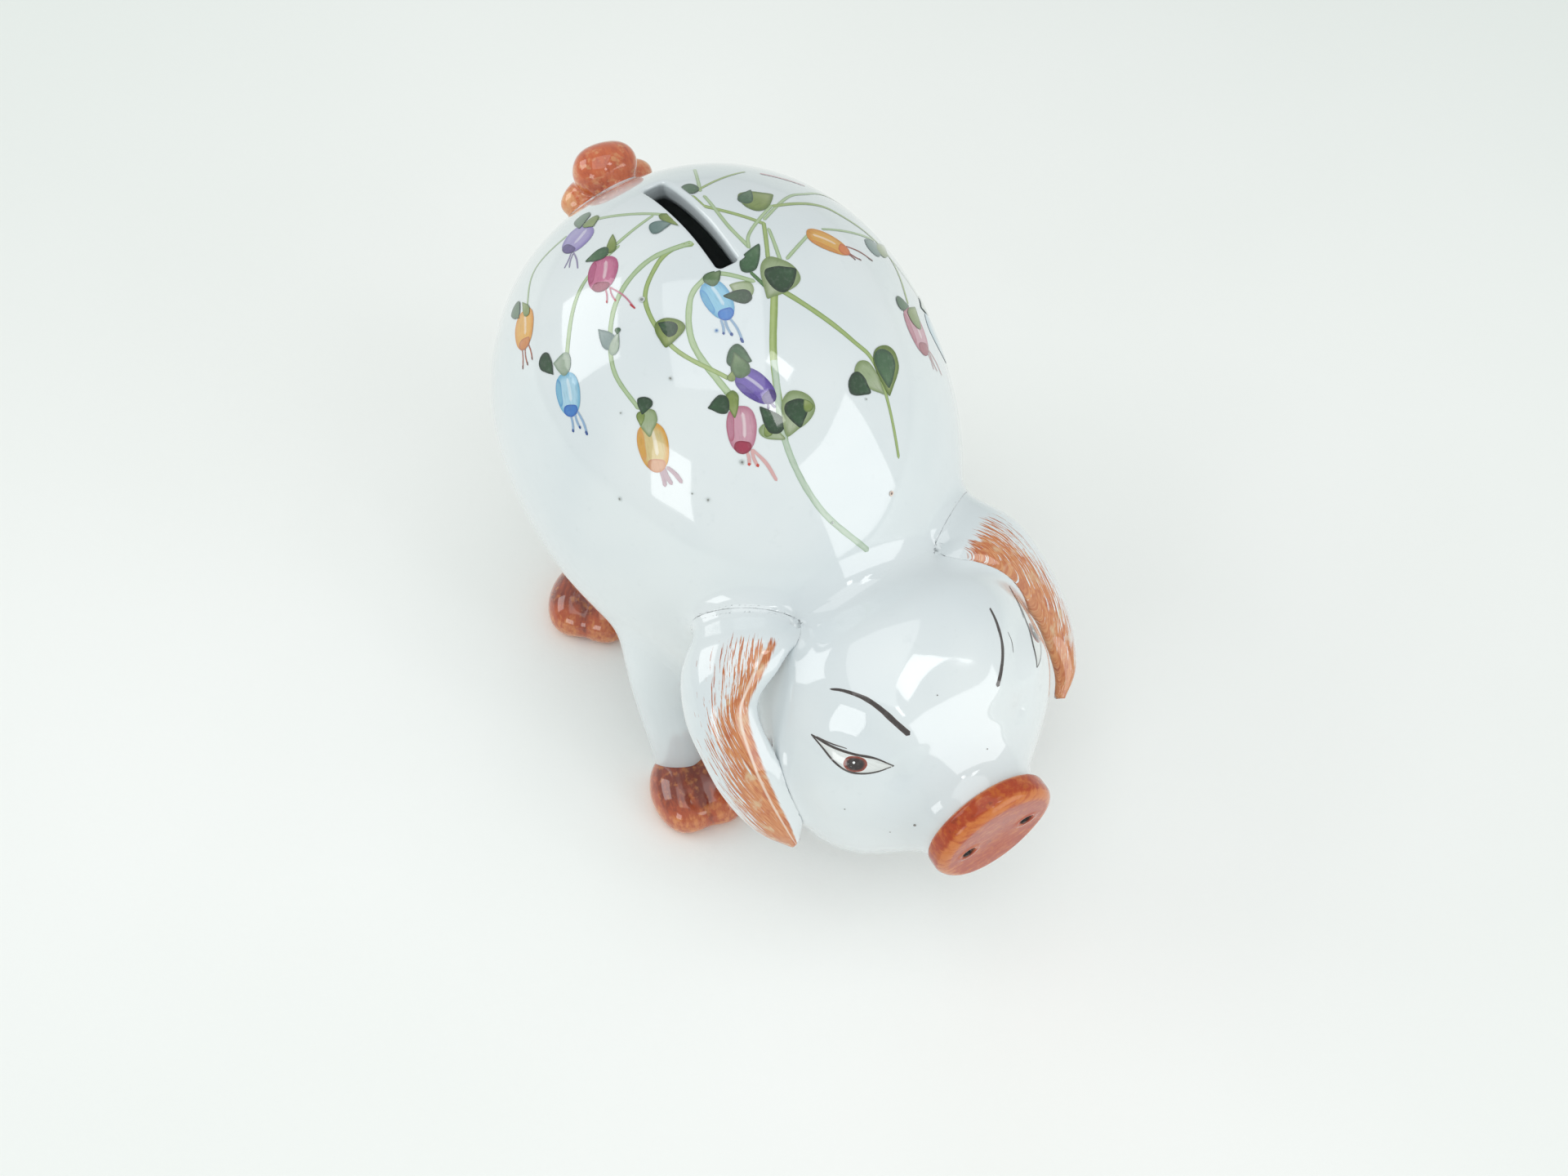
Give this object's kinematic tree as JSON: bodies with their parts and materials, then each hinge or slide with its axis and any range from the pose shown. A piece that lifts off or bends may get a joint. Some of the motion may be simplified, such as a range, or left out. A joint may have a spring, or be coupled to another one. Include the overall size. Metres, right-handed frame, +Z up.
{
  "type": "piggy bank",
  "caption": "Hollow glazed ceramic pig money bank with a coin slot in its back, folded ears, splayed hooved legs, curled tail and rubber belly stopper.",
  "frame": {"origin": "on the plane of the soles, midway along the length and the width", "axes": "+Z up, snout along -Y, the pig's own right side along -X"},
  "size_m": [0.1088, 0.1797, 0.1344],
  "materials": {
    "white_glaze": "gloss",
    "snout_glaze": "gloss",
    "hoof_glaze": "gloss",
    "tail_glaze": "gloss",
    "stopper_rubber": "matte"
  },
  "bodies": {
    "pig": {"body_shell": "white_glaze", "head_shell": "white_glaze", "snout_disc": "snout_glaze", "right_ear": "white_glaze", "left_ear": "white_glaze", "front_right_leg": "white_glaze", "front_left_leg": "white_glaze", "hind_right_leg": "white_glaze", "hind_left_leg": "white_glaze", "front_right_hoof": "hoof_glaze", "front_left_hoof": "hoof_glaze", "hind_right_hoof": "hoof_glaze", "hind_left_hoof": "hoof_glaze", "tail": "tail_glaze"},
    "stopper": {"belly_stopper": "stopper_rubber"}
  },
  "joints": [
    {"name": "stopper_pull", "type": "slide", "parent": "pig", "child": "stopper", "axis": [0, 0, -1], "range_m": [0, 0.014]}
  ]
}
